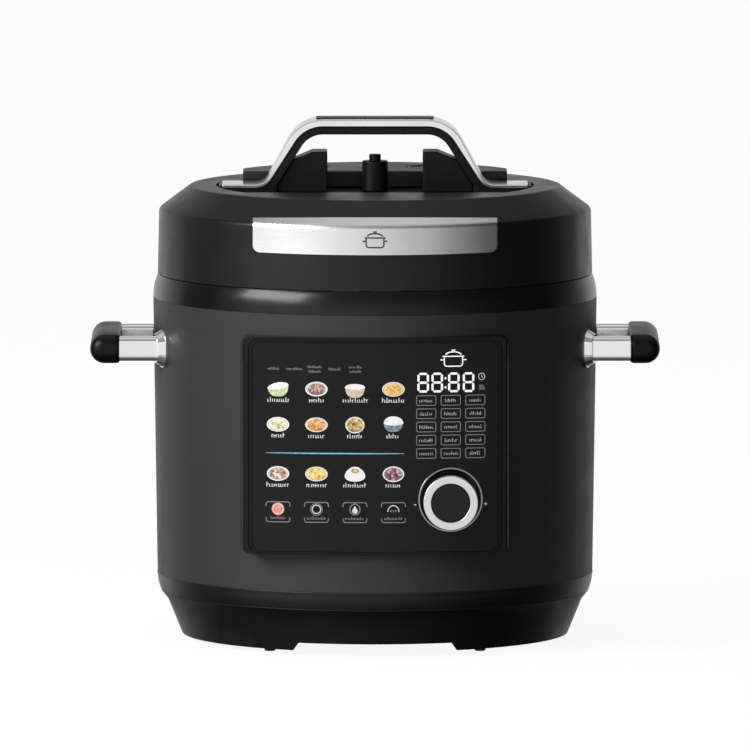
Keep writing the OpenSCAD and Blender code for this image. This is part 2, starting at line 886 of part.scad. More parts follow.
module handle_core() {
    inner = 61;
    half = handle_depth / 2 - 1;
    low = deck_z + foot_rise;
    color(soft_black)
    difference() {
        union() {
            prism_y(handle_band(-core, -eps, -eps), -half, half);
            both_sides() prism_y(concat(
                [[foot_end + 2, deck_z], [foot_end + 2, low + 1.4], [foot_end + 0.3, low + 2],
                 [foot_end + 0.3, low - eps], [inner + 9, low - eps], [inner, low + 5],
                 [inner, deck_z]]), -half, half);
        }
        block([-110, -20, deck_z - 10], [110, 20, deck_z]);
        four_corners() pin(screw_x, screw_y, screw_r + 0.05, deck_z - 1, deck_z + 2.3);
    }
}

module handle_insert() {
    color("#2a2a2c")
    translate([0, 3, deck_z + bar_rise + band]) linear_extrude(0.5)
        polygon(round_rect(73, handle_depth - 16, 3));
}

// One of the two blocks that stand on the deck inside the handle's legs
module handle_block() {
    difference() {
        prism_y([[block_x, deck_z], [60.9, deck_z], [60.9, deck_z + 15], [51.9, deck_z + 19.8],
            [38.6, deck_z + 25.4], [block_x, deck_z + 25.4]], -12, 12);
        prism_y(handle_band(-core - 0.05, band, foot_band), -20, 20);
    }
}

module right_handle_block() {
    color(soft_black) handle_block();
}

module left_handle_block() {
    color(soft_black) mirror([1, 0, 0]) handle_block();
}

// Raised rear deck of the lid
module steam_housing() {
    t = 2;
    back = plateau_r + 1;
    color(plastic)
    difference() {
        union() {
            intersection() {
                disc(plateau_r, lid_top_z, plateau_z);
                block([-plateau_half, plateau_front, lid_top_z - 1], [plateau_half, back, plateau_z + 1]);
            }
            block([-plateau_half, plateau_front - t, deck_z], [plateau_half, plateau_front, plateau_z]);
        }
        intersection() {
            disc(plateau_r - t, lid_top_z - 1, plateau_z - t);
            block([-plateau_half + t, plateau_front, lid_top_z - 2],
                [plateau_half - t, back - t, plateau_z - t]);
        }
        pin(button_x, button_y, button_r + 0.35, lid_top_z, plateau_z + 1);
        pin(float_x, button_y, 3.6, lid_top_z, plateau_z + 1);
    }
}

module release_button() {
    color(plastic)
    translate([button_x, button_y, 0])
        lathe([[0, deck_z - 6], [4, deck_z - 6], [4, plateau_z - 2.8], [button_r, plateau_z - 2.8],
            [button_r, plateau_z - 0.6], [button_r - 0.6, plateau_z], [16.4, plateau_z],
            [15.8, plateau_z - 0.7], [0, plateau_z - 0.7]]);
}

module release_spring() {
    color(steel) coil(button_x, button_y, 6.4, 0.4, lid_top_z + 0.1, plateau_z - 2.9, 3);
}

module vent_pipe() {
    color(steel)
    lathe([[1.6, dish_z - 8], [pipe_r, dish_z - 8], [pipe_r, dish_z + 0.02], [7, dish_z + 0.02],
        [7, dish_z + 4], [pipe_r, dish_z + 4], [pipe_r, deck_z + 8], [2, deck_z + 9.2],
        [1.6, deck_z + 9.2]]);
}

module anti_block_shield() {
    color(steel)
    difference() {
        lathe([[4.5, dish_z - 10], [11, dish_z - 10], [13, dish_z - 8], [13, dish_z - sheet],
            [12, dish_z - sheet], [12, dish_z - 7.6], [10.6, dish_z - 9], [4.5, dish_z - 9]]);
        for (a = [0 : 45 : 315]) rotate([0, 0, a]) block([9, -1.6, dish_z - 6.5], [15, 1.6, dish_z - 3]);
    }
}

module float_bush() {
    color(steel)
    translate([float_x, button_y, 0])
        tube(4, 2.6, dish_z - 3, lid_top_z);
}

module float_valve() {
    color("#b4383a")
    translate([float_x, button_y, 0])
        lathe([[0, dish_z - 11.3], [4.4, dish_z - 11.3], [4.4, dish_z - 9.4], [2.3, dish_z - 9.4],
            [2.3, plateau_z - 1.3], [2, plateau_z - 1], [0, plateau_z - 1]]);
}

module float_gasket() {
    color("#d8d9d6")
    translate([float_x, button_y, 0])
        tube(4.3, 2.3, dish_z - 9.4, dish_z - 7.5);
}

// The weight that sits on the vent pipe and lifts to let steam out
module steam_valve() {
    color(soft_black)
    lathe([[pipe_r + gap, deck_z + gap], [valve_r - 0.4, deck_z + gap], [valve_r, deck_z + 0.8],
        [valve_r, deck_z + 18.4], [valve_r - 0.6, deck_z + 19], [3.65, deck_z + 19],
        [3.65, deck_z + 22.6], [3.3, deck_z + 23], [0, deck_z + 23], [0, deck_z + 10],
        [1.6, deck_z + 10], [pipe_r + gap, deck_z + 8.5]]);
}

outer_shell();
top_collar();
lower_trim_ring();
base_housing();
base_cover();
base_screws();
rubber_feet();
outer_pot();
heating_plate();
heating_element();
sensor_housing();
sensor_button();
sensor_spring();
pressure_switch();
thermal_fuse();
power_board();
power_board_parts();
inlet_socket();
inlet_pins();
control_bezel();
control_glass();
panel_holder();
dial_cup();
dial_trim_ring();
display_board();
display_module();
encoder_body();
encoder_bush();
encoder_shaft();
knob_body();
knob_ring();
knob_cap();
handle_posts();
handle_flanges();
left_handle_grip();
right_handle_grip();
handle_bolts();
cup_bracket();
condensation_cup();
inner_pot();
sealing_ring();
lid_cover();
lid_inner();
ring_rack();
lid_screws();
front_plate();
handle_strip();
handle_core();
handle_insert();
left_handle_block();
right_handle_block();
steam_housing();
release_button();
release_spring();
vent_pipe();
anti_block_shield();
float_bush();
float_valve();
float_gasket();
steam_valve();
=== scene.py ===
"""Looks of the electric pressure cooker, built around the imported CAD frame.

Metres throughout. +Z is up, the control panel faces -Y, and the origin is on the table under the middle.
Sizes that the CAD fixes are read from the frame; the rest are named here in millimetres (times MM).
"""

import math
import random

import bmesh
import bpy
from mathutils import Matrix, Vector


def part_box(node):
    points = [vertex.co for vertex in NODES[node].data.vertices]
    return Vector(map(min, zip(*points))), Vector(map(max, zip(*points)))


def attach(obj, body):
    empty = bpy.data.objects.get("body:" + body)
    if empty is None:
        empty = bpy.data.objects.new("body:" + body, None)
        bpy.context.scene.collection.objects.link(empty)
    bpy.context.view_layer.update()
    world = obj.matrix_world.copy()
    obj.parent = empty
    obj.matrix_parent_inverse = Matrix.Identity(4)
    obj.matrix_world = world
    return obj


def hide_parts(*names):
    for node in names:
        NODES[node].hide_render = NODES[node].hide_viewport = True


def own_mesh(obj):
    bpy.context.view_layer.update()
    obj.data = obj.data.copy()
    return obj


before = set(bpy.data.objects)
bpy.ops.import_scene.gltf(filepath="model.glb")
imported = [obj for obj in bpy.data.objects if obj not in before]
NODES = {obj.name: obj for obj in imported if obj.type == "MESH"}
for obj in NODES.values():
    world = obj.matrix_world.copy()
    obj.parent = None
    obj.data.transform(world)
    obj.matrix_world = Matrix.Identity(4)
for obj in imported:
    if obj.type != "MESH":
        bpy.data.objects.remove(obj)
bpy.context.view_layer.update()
MM = 0.001


# ------------------------------------------------------------------ places read from the frame

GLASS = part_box("control_glass")
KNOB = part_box("knob_ring")
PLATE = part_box("front_plate")
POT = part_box("inner_pot")

DIAL = Vector(((KNOB[0].x + KNOB[1].x) / 2, 0, (KNOB[0].z + KNOB[1].z) / 2))
# Radius of the bent panel glass about an upright axis, and the place of its foremost line
PANEL_R = 340 * MM
PANEL_FRONT = GLASS[0].y
# Radius of the lid's steel plate at its lower edge, and what it loses for each unit of height
PLATE_R = -PLATE[0].y
PLATE_TAPER = 0.8 / 37.6
# Radius of the cooking pot's inner wall, and the height of its inner floor
POT_INSIDE_R = 109.7 * MM
POT_INSIDE_FLOOR = POT[0].z + 1.8 * MM


def on_glass(x, z, lift):
    """The point of the panel glass at (x, z), moved lift towards the viewer."""
    return Vector((x, PANEL_FRONT + PANEL_R - math.sqrt(PANEL_R ** 2 - x ** 2) - lift, z))


def on_front_plate(x, z, lift):
    """The point of the lid's steel plate at (x, z), moved lift outwards."""
    radius = PLATE_R - PLATE_TAPER * (z - PLATE[0].z) + lift
    return Vector((x, -math.sqrt(radius ** 2 - x ** 2), z))


def on_pot_wall(x, z, lift):
    """The point of the pot's inner wall at arc length x from its back, moved lift inwards."""
    angle = x / POT_INSIDE_R
    radius = POT_INSIDE_R - lift
    return Vector((radius * math.sin(angle), radius * math.cos(angle), z))


# ------------------------------------------------------------------ camera, light and stage

# A distant camera in front, a little above: its height at the object and the width that it takes in
VIEW_ELEVATION = math.radians(5.5)
VIEW_DISTANCE = 12.0
VIEW_WIDTH = 465 * MM
VIEW_HEIGHT = 162.5 * MM
SENSOR = 36.0

# Brightness of the studio by azimuth, in degrees from the viewer's side, positive to the right
STUDIO = (
    (-180, 0.6), (-152, 0.75), (-130, 0.5), (-115, 0.08), (-96, 0.03), (-82, 0.35), (-66, 0.9),
    (-45, 0.98), (-24, 0.92), (0, 0.74), (24, 0.52), (46, 0.24), (62, 0.08), (100, 0.03), (127, 0.2),
    (152, 0.7), (180, 0.6),
)
# Brightness of the studio by the sine of the elevation
STUDIO_HEIGHT = (
    (-1, 0.08), (-0.55, 0.2), (-0.3, 0.5), (-0.12, 0.95), (0.1, 1.0), (0.25, 0.62), (0.42, 0.34), (0.7, 0.2),
    (0.9, 0.04), (1, 0),
)
# Brightness of the overhead light by the sine of the elevation, the same all round
OVERHEAD = ((0.66, 0), (0.85, 0.33), (0.98, 0.53), (1, 0.55))
STUDIO_STRENGTH = 1.2
# The white behind the object, and the glowing paper under it
BACKDROP = 0.98
FLOOR_HALF = 40.0
FLOOR_PAPER, FLOOR_GLOW = 0.12, 0.92
# The one light panel, in metres and watts
KEY_AZIMUTH, KEY_ELEVATION, KEY_DISTANCE = math.radians(-56), math.radians(27), 2.2
KEY_SIZE = (1.3, 0.75)
KEY_POWER = 40.0


def add(tree, kind, inputs=None, out=0, **settings):
    """Adds a shader node with its settings and inputs, and returns one of its outputs."""
    node = tree.nodes.new("ShaderNode" + kind)
    for key, value in settings.items():
        setattr(node, key, value)
    for key, value in (inputs or {}).items():
        if isinstance(value, bpy.types.NodeSocket):
            tree.links.new(value, node.inputs[key])
        else:
            node.inputs[key].default_value = value
    return node.outputs[out]


def ramp(tree, value, stops, interpolation="LINEAR"):
    """A colour ramp from stops of (position from 0 to 1, colour or grey)."""
    out = add(tree, "ValToRGB", {"Fac": value})
    band = out.node.color_ramp
    band.interpolation = interpolation
    for i, (position, color) in enumerate(stops):
        element = band.elements[i] if i < 2 else band.elements.new(position)
        element.position = position
        element.color = rgba(color)
    return out


def rgba(color):
    if isinstance(color, (int, float)):
        color = (color, color, color)
    return (*color[:3], 1.0)


def mixed(tree, factor, a, b, blend="MIX"):
    return add(tree, "Mix", {0: factor, 6: a, 7: b}, 2, data_type="RGBA", blend_type=blend)


def blank_material(name):
    """A new material and its empty node tree."""
    material = bpy.data.materials.new(name)
    material.use_nodes = True
    material.node_tree.nodes.clear()
    return material, material.node_tree


def show(tree, shader):
    """Makes shader what a material's tree shows."""
    tree.links.new(shader, tree.nodes.new("ShaderNodeOutputMaterial").inputs["Surface"])


def make_camera():
    data = bpy.data.cameras.new("camera")
    data.sensor_width = SENSOR
    data.lens = SENSOR * VIEW_DISTANCE / VIEW_WIDTH
    data.clip_start, data.clip_end = 0.1, 200
    camera = bpy.data.objects.new("camera", data)
    back = Vector((0, -math.cos(VIEW_ELEVATION), math.sin(VIEW_ELEVATION)))
    camera.location = Vector((0, 0, VIEW_HEIGHT)) + back * VIEW_DISTANCE
    camera.rotation_euler = (-back).to_track_quat("-Z", "Y").to_euler()
    bpy.context.scene.collection.objects.link(camera)
    bpy.context.scene.camera = camera


def make_studio():
    """A world of soft light panels: bright to the front left and behind, dark to the front right."""
    world = bpy.data.worlds.new("studio")
    bpy.context.scene.world = world
    world.use_nodes = True
    tree = world.node_tree
    tree.nodes.clear()
    direction = add(tree, "TexCoord", out="Generated")
    parts = add(tree, "SeparateXYZ", {0: direction}).node.outputs
    toward = add(tree, "Math", {0: parts[1], 1: -1.0}, operation="MULTIPLY")
    azimuth = add(tree, "Math", {0: parts[0], 1: toward}, operation="ARCTAN2")
    turn = add(tree, "MapRange", {"Value": azimuth, "From Min": -math.pi, "From Max": math.pi})
    around = ramp(tree, turn, [((a + 180) / 360, b) for a, b in STUDIO], "EASE")
    height = add(tree, "MapRange", {"Value": parts[2], "From Min": -1.0})
    upward = ramp(tree, height, [((s + 1) / 2, b) for s, b in STUDIO_HEIGHT])
    walls = mixed(tree, 1.0, around, upward, "MULTIPLY")
    ceiling = ramp(tree, height, [((s + 1) / 2, b) for s, b in OVERHEAD])
    light = mixed(tree, 1.0, walls, ceiling, "ADD")
    panels = add(tree, "Background", {"Color": light, "Strength": STUDIO_STRENGTH})
    backdrop = add(tree, "Background", {"Color": rgba(BACKDROP)})
    seen = add(tree, "LightPath", out="Is Camera Ray")
    both = add(tree, "MixShader", {0: seen, 1: panels, 2: backdrop})
    tree.links.new(both, tree.nodes.new("ShaderNodeOutputWorld").inputs["Surface"])
    bpy.context.scene.view_settings.view_transform = "Standard"
    bpy.context.scene.view_settings.look = "None"


def make_key():
    """One brighter light panel, up to the front left."""
    data = bpy.data.lights.new("key", "AREA")
    data.shape = "RECTANGLE"
    data.size, data.size_y = KEY_SIZE
    data.energy = KEY_POWER
    light = bpy.data.objects.new("key", data)
    level = math.cos(KEY_ELEVATION)
    away = Vector((level * math.sin(KEY_AZIMUTH), -level * math.cos(KEY_AZIMUTH), math.sin(KEY_ELEVATION)))
    light.location = away * KEY_DISTANCE + Vector((0, 0, VIEW_HEIGHT))
    light.rotation_euler = (-away).to_track_quat("-Z", "Y").to_euler()
    light.visible_camera = False
    bpy.context.scene.collection.objects.link(light)


def make_floor():
    """A white paper floor that takes shadows but isn't mirrored in the object."""
    half = FLOOR_HALF
    corners = [(-half, -half, 0), (half, -half, 0), (half, half, 0), (-half, half, 0)]
    mesh = bpy.data.meshes.new("floor")
    mesh.from_pydata(corners, [], [(0, 1, 2, 3)])
    floor = bpy.data.objects.new("floor", mesh)
    bpy.context.scene.collection.objects.link(floor)
    material, tree = blank_material("floor")
    paper = add(tree, "BsdfDiffuse", {"Color": rgba(FLOOR_PAPER)})
    glow = add(tree, "Emission", {"Strength": FLOOR_GLOW})
    show(tree, add(tree, "AddShader", {0: paper, 1: glow}))
    mesh.materials.append(material)
    floor.visible_glossy = False
    floor.visible_diffuse = False
    floor.visible_transmission = False


# ------------------------------------------------------------------ materials


def noise(tree, vector, scale, detail=3.0):
    return add(tree, "TexNoise", {"Vector": vector, "Scale": scale, "Detail": detail})


def remap(tree, value, low, high, to_low, to_high):
    return add(tree, "MapRange", {
        "Value": value, "From Min": low, "From Max": high, "To Min": to_low, "To Max": to_high})


def brushed_along(stretch):
    """Fine straight lines: stretch is the noise scale along X, Y and Z, small along the lines."""
    def lines(tree, place):
        spread = add(tree, "Mapping", {"Vector": place, "Scale": stretch})
        return noise(tree, spread, 1.0, 4.0)
    return lines


def turned_about(centre, mask, pitch):
    """Fine rings about an axis through centre: mask is 0 along the axis, and pitch is lines per metre."""
    def lines(tree, place):
        arm = add(tree, "VectorMath", {0: place, 1: centre}, operation="SUBTRACT")
        flat = add(tree, "VectorMath", {0: arm, 1: mask}, operation="MULTIPLY")
        radius = add(tree, "VectorMath", {0: flat}, out="Value", operation="LENGTH")
        return add(tree, "TexNoise", {"W": radius, "Scale": pitch, "Detail": 4.0}, noise_dimensions="1D")
    return lines


def surface(name, color, roughness, metallic=0.0, grain=900, bump=0.15, tint=0.1, smudge=0.05,
            wear=0.25, wear_color=None, lines=None, line_tint=0.08, paint=None, specular=0.5, **sockets):
    """A Principled material with colour clouds, smudged roughness, fine grain, brushed lines and edge wear.

    grain is the grain's noise scale per metre, tint and smudge are how far colour and roughness wander,
    lines makes brushing, paint(tree, place) takes color's place, and sockets are set on the shader."""
    material, tree = blank_material(name)
    place = add(tree, "TexCoord", out="Object")
    cloud = noise(tree, place, 22.0, 4.0)
    shade = remap(tree, cloud, 0.3, 0.7, 1 - tint, 1 + tint)
    base = paint(tree, place) if paint else rgba(color)
    base = mixed(tree, 1.0, base, shade, "MULTIPLY")
    fine = noise(tree, place, grain, 2.0)
    height = fine
    gloss = remap(tree, noise(tree, place, 55.0, 5.0), 0.3, 0.7, roughness - smudge, roughness + smudge)
    if lines:
        grooves = lines(tree, place)
        streak = remap(tree, grooves, 0.3, 0.7, 1 - line_tint, 1 + line_tint)
        base = mixed(tree, 1.0, base, streak, "MULTIPLY")
        height = add(tree, "Math", {0: grooves, 1: 3.0, 2: fine}, operation="MULTIPLY_ADD")
        gloss = add(tree, "Math", {0: grooves, 1: 0.12, 2: gloss}, operation="MULTIPLY_ADD")
    edge = add(tree, "NewGeometry", out="Pointiness")
    rub = remap(tree, edge, 0.52, 0.6, 0.0, wear)
    patchy = add(tree, "Math", {0: rub, 1: remap(tree, cloud, 0.35, 0.6, 0.3, 1.0)}, operation="MULTIPLY")
    worn = wear_color or tuple(min(1.0, c * 1.8 + 0.03) for c in color)
    base = mixed(tree, patchy, base, rgba(worn))
    grit = add(tree, "Bump", {"Strength": bump, "Distance": 0.0002, "Height": height})
    show(tree, add(tree, "BsdfPrincipled", {
        "Base Color": base, "Roughness": gloss, "Metallic": metallic, "Normal": grit,
        "Specular IOR Level": specular, **sockets}))
    return material


def printed(name, colors, glow):
    """Back-lit ink on the panel, mottled between colors."""
    material, tree = blank_material(name)
    place = add(tree, "TexCoord", out="Object")
    blot = remap(tree, noise(tree, place, 500.0, 2.0), 0.32, 0.68, 0.0, 1.0)
    tone = ramp(tree, blot, [(i / (len(colors) - 1), color) for i, color in enumerate(colors)])
    film = remap(tree, noise(tree, place, 90.0, 3.0), 0.3, 0.7, 0.29, 0.41)
    grit = add(tree, "Bump", {"Strength": 0.05, "Distance": 0.0001, "Height": blot})
    show(tree, add(tree, "BsdfPrincipled", {
        "Base Color": tone, "Roughness": film, "Emission Color": tone, "Emission Strength": glow,
        "Normal": grit}))
    return material


def pot_paint(tree, place):
    """Dark speckled coating inside the pot, bare metal outside."""
    flat = add(tree, "VectorMath", {0: place, 1: (1, 1, 0)}, operation="MULTIPLY")
    radius = add(tree, "VectorMath", {0: flat}, out="Value", operation="LENGTH")
    height = add(tree, "SeparateXYZ", {0: place}).node.outputs[2]
    within = remap(tree, radius, POT_INSIDE_R + 0.4 * MM, POT_INSIDE_R + 1.1 * MM, 1.0, 0.0)
    above = remap(tree, height, POT_INSIDE_FLOOR - 1.0 * MM, POT_INSIDE_FLOOR - 0.4 * MM, 0.0, 1.0)
    coated = add(tree, "Math", {0: within, 1: above}, operation="MULTIPLY")
    speck = add(tree, "TexVoronoi", {"Vector": place, "Scale": 420.0}, out="Distance")
    fleck = remap(tree, speck, 0.1, 0.2, 0.16, 0.028)
    return mixed(tree, coated, rgba((0.55, 0.55, 0.56)), fleck)


def board_paint(tree, place):
    """Green lacquer with paler tracks and round solder pads."""
    tracks = add(tree, "TexBrick", {
        "Vector": add(tree, "Mapping", {"Vector": place, "Rotation": (math.pi / 2, 0, 0)}),
        "Scale": 160.0, "Color1": rgba((0.016, 0.09, 0.035)), "Color2": rgba((0.02, 0.12, 0.045)),
        "Mortar": rgba((0.08, 0.2, 0.07)), "Mortar Size": 0.04})
    pads = add(tree, "TexVoronoi", {"Vector": place, "Scale": 230.0}, out="Distance")
    return mixed(tree, remap(tree, pads, 0.12, 0.16, 1.0, 0.0), tracks, rgba((0.6, 0.58, 0.5)))


def parts_paint(tree, place):
    """Plastic, ceramic and can colours by cell, for small electrical parts."""
    cell = add(tree, "TexVoronoi", {"Vector": place, "Scale": 60.0}, out="Color")
    pick = add(tree, "SeparateXYZ", {0: cell})
    return ramp(tree, pick, [(0.0, 0.03), (0.35, (0.05, 0.06, 0.1)), (0.6, (0.35, 0.3, 0.2)), (0.9, 0.3)],
                "CONSTANT")


# Directions across an axis: what turned_about keeps of a place
ABOUT_Y = (1, 0, 1)
ABOUT_Z = (1, 1, 0)

# Every finish. A name is the record's material slot, or a variant of one
LOOKS = {
    "shell_paint": dict(color=(0.035, 0.035, 0.0356), roughness=0.5, grain=2600, bump=0.2, tint=0.05,
        smudge=0.03, wear=0.15, specular=0.36),
    "bezel_gloss": dict(color=(0.004, 0.004, 0.0042), roughness=0.24, grain=1500, bump=0.04,
        smudge=0.03, wear=0.25, specular=0.22),
    "trim_satin": dict(color=(0.009, 0.009, 0.0093), roughness=0.34, grain=1500, bump=0.06,
        smudge=0.03, wear=0.3, specular=0.5),
    "cup_satin": dict(color=(0.03, 0.03, 0.031), roughness=0.36, grain=1400, bump=0.1, wear=0.1,
        specular=0.6),
    "satin_metal": dict(color=(0.5, 0.5, 0.51), roughness=0.3, metallic=1.0, grain=900, bump=0.03,
        tint=0.03, wear=0.1),
    "collar_gloss": dict(color=(0.007, 0.007, 0.0073), roughness=0.22, grain=1500, bump=0.05,
        smudge=0.04, wear=0.3, specular=0.3),
    "lid_plastic": dict(color=(0.011, 0.011, 0.0114), roughness=0.33, grain=2200, bump=0.2, tint=0.06,
        wear=0.25, specular=0.27),
    "black_plastic": dict(color=(0.007, 0.007, 0.0073), roughness=0.38, grain=1700, bump=0.25,
        wear=0.3, specular=0.4),
    "grip_plastic": dict(color=(0.0045, 0.0045, 0.0047), roughness=0.36, grain=1900, bump=0.12,
        smudge=0.05, wear=0.25, specular=0.2),
    "inner_plastic": dict(color=(0.02, 0.02, 0.021), roughness=0.5, grain=1300, bump=0.2, wear=0.2),
    "chrome": dict(color=(0.92, 0.92, 0.93), roughness=0.1, metallic=1.0, grain=300, bump=0.02,
        tint=0.02, smudge=0.04, wear=0.15, wear_color=(0.7, 0.7, 0.7)),
    "brushed_plate": dict(color=(0.8, 0.8, 0.805), roughness=0.22, metallic=1.0, grain=3000, bump=0.03,
        tint=0.03, smudge=0.03, wear=0.2, line_tint=0.06, lines=brushed_along((14, 14, 5200))),
    "brushed_strip": dict(color=(0.95, 0.95, 0.955), roughness=0.13, metallic=1.0, grain=3000,
        bump=0.012, tint=0.02, smudge=0.02, wear=0.2, line_tint=0.04,
        lines=brushed_along((5, 2600, 5))),
    "turned_ring": dict(color=(0.97, 0.97, 0.975), roughness=0.27, metallic=1.0, bump=0.012, tint=0.02,
        wear=0.1, lines=turned_about(DIAL, ABOUT_Y, 5200.0), line_tint=0.05),
    "steel": dict(color=(0.6, 0.6, 0.61), roughness=0.26, metallic=1.0, grain=700, bump=0.06,
        tint=0.06, smudge=0.08, wear=0.2, lines=brushed_along((900, 900, 20))),
    "spun_steel": dict(color=(0.62, 0.62, 0.63), roughness=0.22, metallic=1.0, bump=0.08, tint=0.05,
        smudge=0.06, wear=0.2, lines=turned_about((0, 0, 0), ABOUT_Z, 2400.0)),
    "alloy": dict(color=(0.55, 0.56, 0.57), roughness=0.42, metallic=1.0, grain=600, bump=0.3,
        tint=0.1, smudge=0.1, wear=0.3, lines=turned_about((0, 0, 0), ABOUT_Z, 1500.0)),
    "pot_coating": dict(color=(0.5, 0.5, 0.51), roughness=0.3, metallic=0.55, grain=1100, bump=0.15,
        wear=0.2, paint=pot_paint),
    "panel_glass": dict(color=(0.0085, 0.0085, 0.009), roughness=0.09, grain=200, bump=0.01, tint=0.05,
        smudge=0.025, wear=0.1, specular=0.17),
    "rubber": dict(color=(0.022, 0.022, 0.022), roughness=0.75, grain=1200, bump=0.4, tint=0.2,
        wear=0.4),
    "silicone": dict(color=(0.62, 0.63, 0.62), roughness=0.45, grain=900, bump=0.1, tint=0.05,
        wear=0.1, **{"Subsurface Weight": 0.3, "Subsurface Scale": 0.003}),
    "float_red": dict(color=(0.42, 0.03, 0.035), roughness=0.35, grain=1200, bump=0.1, wear=0.3),
    "smoke_plastic": dict(color=(0.09, 0.095, 0.105), roughness=0.14, grain=500, bump=0.03, tint=0.05,
        smudge=0.05, wear=0.2, **{"Transmission Weight": 0.7, "IOR": 1.49}),
    "circuit": dict(color=(0.02, 0.1, 0.04), roughness=0.4, grain=600, bump=0.2, paint=board_paint),
    "components": dict(color=(0.05, 0.05, 0.06), roughness=0.45, grain=900, bump=0.2,
        paint=parts_paint),
    "led_module": dict(color=(0.72, 0.72, 0.68), roughness=0.4, grain=900, bump=0.1, wear=0.1),
    "brass": dict(color=(0.62, 0.46, 0.2), roughness=0.28, metallic=1.0, grain=900, bump=0.1, tint=0.1,
        wear=0.2, lines=turned_about(DIAL, ABOUT_Y, 1800.0)),
}


def make_materials():
    return {name: surface(name, **look) for name, look in LOOKS.items()}


# Finish and edge radius in millimetres of each CAD node that shows as it is
FINISHES = {
    "outer_shell": ("shell_paint", 0.4), "top_collar": ("collar_gloss", 0.3),
    "lower_trim_ring": ("trim_satin", 0.3), "base_housing": ("black_plastic", 0.8),
    "base_cover": ("inner_plastic", 0.3), "base_screws": ("steel", 0.3), "rubber_feet": ("rubber", 0.8),
    "outer_pot": ("alloy", 0.3), "heating_plate": ("alloy", 0.4), "heating_element": ("steel", 0.3),
    "sensor_housing": ("steel", 0.2), "pressure_switch": ("components", 0.4),
    "thermal_fuse": ("steel", 0.2), "power_board": ("circuit", 0.1),
    "power_board_parts": ("components", 0.4), "inlet_socket": ("inner_plastic", 0.6),
    "inlet_pins": ("chrome", 0.4), "control_bezel": ("bezel_gloss", 0.1),
    "control_glass": ("panel_glass", 0.3), "panel_holder": ("inner_plastic", 0.2),
    "dial_cup": ("cup_satin", 0.1), "dial_trim_ring": ("satin_metal", 0.25),
    "display_board": ("circuit", 0.1), "display_module": ("led_module", 0.2),
    "encoder_body": ("alloy", 0.2), "encoder_bush": ("brass", 0.15), "encoder_shaft": ("steel", 0.2),
    "handle_posts": ("chrome", 0.5), "handle_flanges": ("chrome", 0.25), "handle_bolts": ("steel", 0.4),
    "cup_bracket": ("black_plastic", 0.6), "condensation_cup": ("smoke_plastic", 0.5),
    "inner_pot": ("pot_coating", 0.4), "sealing_ring": ("silicone", 0.5),
    "lid_cover": ("lid_plastic", 0.6), "lid_inner": ("spun_steel", 0.3), "ring_rack": ("steel", 0),
    "front_plate": ("brushed_plate", 0), "handle_strip": ("brushed_strip", 0.6),
    "handle_core": ("grip_plastic", 0.9), "handle_insert": ("grip_plastic", 0.2),
    "left_handle_block": ("grip_plastic", 1.2), "right_handle_block": ("grip_plastic", 1.2),
    "lid_screws": ("steel", 0.4), "steam_housing": ("black_plastic", 1.2), "vent_pipe": ("steel", 0.2),
    "anti_block_shield": ("steel", 0.15), "float_bush": ("steel", 0.3),
    "steam_valve": ("grip_plastic", 0.6), "float_valve": ("float_red", 0.3),
    "float_gasket": ("silicone", 0.4), "release_button": ("black_plastic", 0.5),
    "knob_body": ("grip_plastic", 0.4), "knob_ring": ("turned_ring", 0.15),
    "knob_cap": ("lid_plastic", 0.3), "sensor_button": ("alloy", 0.4),
}

# Edges sharper than this are rounded, and faces flatter than this to each other are joined first
ROUND_ABOVE = math.radians(26)
FLAT_BELOW = math.radians(0.3)
WELD_BELOW = 0.002 * MM


def round_edges(piece, width):
    """Welds a CAD mesh in its modifiers, rounds its edges and evens its shading."""
    weld = piece.modifiers.new("weld", "WELD")
    weld.merge_threshold = WELD_BELOW
    faces = piece.modifiers.new("faces", "DECIMATE")
    faces.decimate_type = "DISSOLVE"
    faces.angle_limit = FLAT_BELOW
    bevel = piece.modifiers.new("round", "BEVEL")
    bevel.width = width
    bevel.segments = 3
    bevel.limit_method = "ANGLE"
    bevel.angle_limit = ROUND_ABOVE
    bevel.miter_outer = "MITER_ARC"
    normals = piece.modifiers.new("normals", "WEIGHTED_NORMAL")
    normals.weight = 100
    normals.keep_sharp = True


def finish_nodes(materials):
    """Gives every CAD node that shows its finish and its rounded edges."""
    for name, (finish, radius) in FINISHES.items():
        node = NODES[name]
        if not node.material_slots:
            node.data.materials.append(None)
        for holder in node.material_slots:
            holder.material = materials[finish]
        if radius:
            round_edges(node, radius * MM)


# ------------------------------------------------------------------ thin printed marks

# Height of a mark's face over its surface, what each layer on top adds, and how far its back is sunk
INK = 0.1 * MM
LAYER = 0.06 * MM
SUNK = -0.08 * MM
# Longest straight step along a bent surface
STEP = 4 * MM


def arc(cx, cz, rx, rz, start, end, count):
    """Points of an elliptical arc, in degrees anticlockwise from +X."""
    turn = [math.radians(start + (end - start) * i / count) for i in range(count + 1)]
    return [(cx + rx * math.cos(t), cz + rz * math.sin(t)) for t in turn]


def ellipse(cx, cz, rx, rz, count=32):
    return arc(cx, cz, rx, rz, 0, 360, count)[:-1]


def round_rect(cx, cz, width, height, radius):
    dx, dz = width / 2 - radius, height / 2 - radius
    corners = ((dx, dz, 0), (-dx, dz, 90), (-dx, -dz, 180), (dx, -dz, 270))
    return [p for x, z, a in corners for p in arc(cx + x, cz + z, radius, radius, a, a + 90, 5)]


def dense(path, closed=False):
    """The same path with no step longer than STEP, so that it follows a curved surface."""
    out = []
    following = path[1:] + path[:1] if closed else path[1:]
    for (x0, z0), (x1, z1) in zip(path, following):
        count = max(1, math.ceil(math.hypot(x1 - x0, z1 - z0) / STEP))
        out += [(x0 + (x1 - x0) * i / count, z0 + (z1 - z0) * i / count) for i in range(count)]
    return out if closed else out + [path[-1]]


